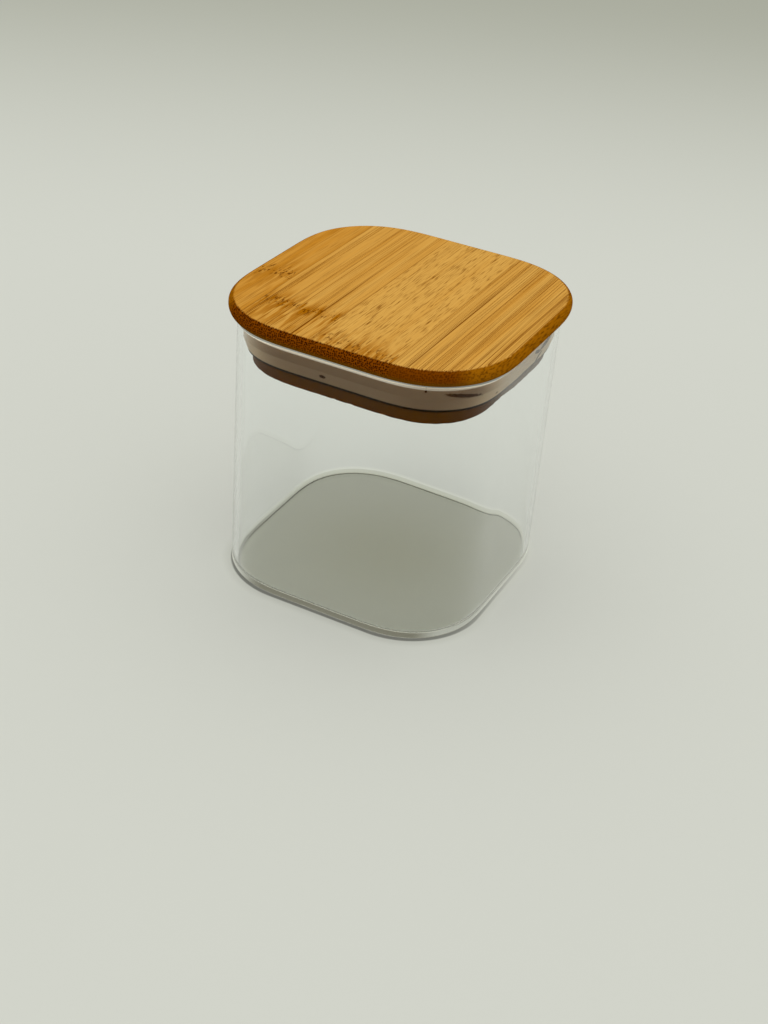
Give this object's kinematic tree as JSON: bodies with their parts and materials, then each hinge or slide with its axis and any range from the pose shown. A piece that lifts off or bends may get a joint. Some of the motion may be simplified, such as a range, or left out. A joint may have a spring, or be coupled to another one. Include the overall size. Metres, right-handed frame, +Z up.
{
  "type": "spice jar",
  "caption": "Small square clear glass jar with round corners and a flat laminated bamboo lid that plugs into the mouth on a silicone seal.",
  "frame": {"origin": "middle of the jar's foot, on the surface that it stands on", "axes": "+Z up through the lid; the lid's top grain runs along Y, and the side with the strips' ends that the picture shows faces -Y"},
  "size_m": [0.072, 0.072, 0.0733],
  "materials": {
    "glass": "clear, polished",
    "bamboo": "sanded and lightly oiled, grain along Y",
    "bamboo_core": "sanded, grain along X",
    "silicone": "soft, translucent white"
  },
  "bodies": {
    "jar": {"glass_jar": "glass"},
    "lid": {"cover_slat_1": "bamboo", "cover_slat_2": "bamboo", "cover_slat_3": "bamboo", "cover_slat_4": "bamboo", "cover_slat_5": "bamboo", "core_slat_1": "bamboo_core", "core_slat_2": "bamboo_core", "core_slat_3": "bamboo_core", "core_slat_4": "bamboo_core", "plug_slat_1": "bamboo", "plug_slat_2": "bamboo", "plug_slat_3": "bamboo", "plug_slat_4": "bamboo", "silicone_seal": "silicone"}
  },
  "joints": [
    {"name": "lid_lift", "type": "slide", "parent": "jar", "child": "lid", "axis": [0, 0, 1], "range_m": [0, 0.05]}
  ]
}
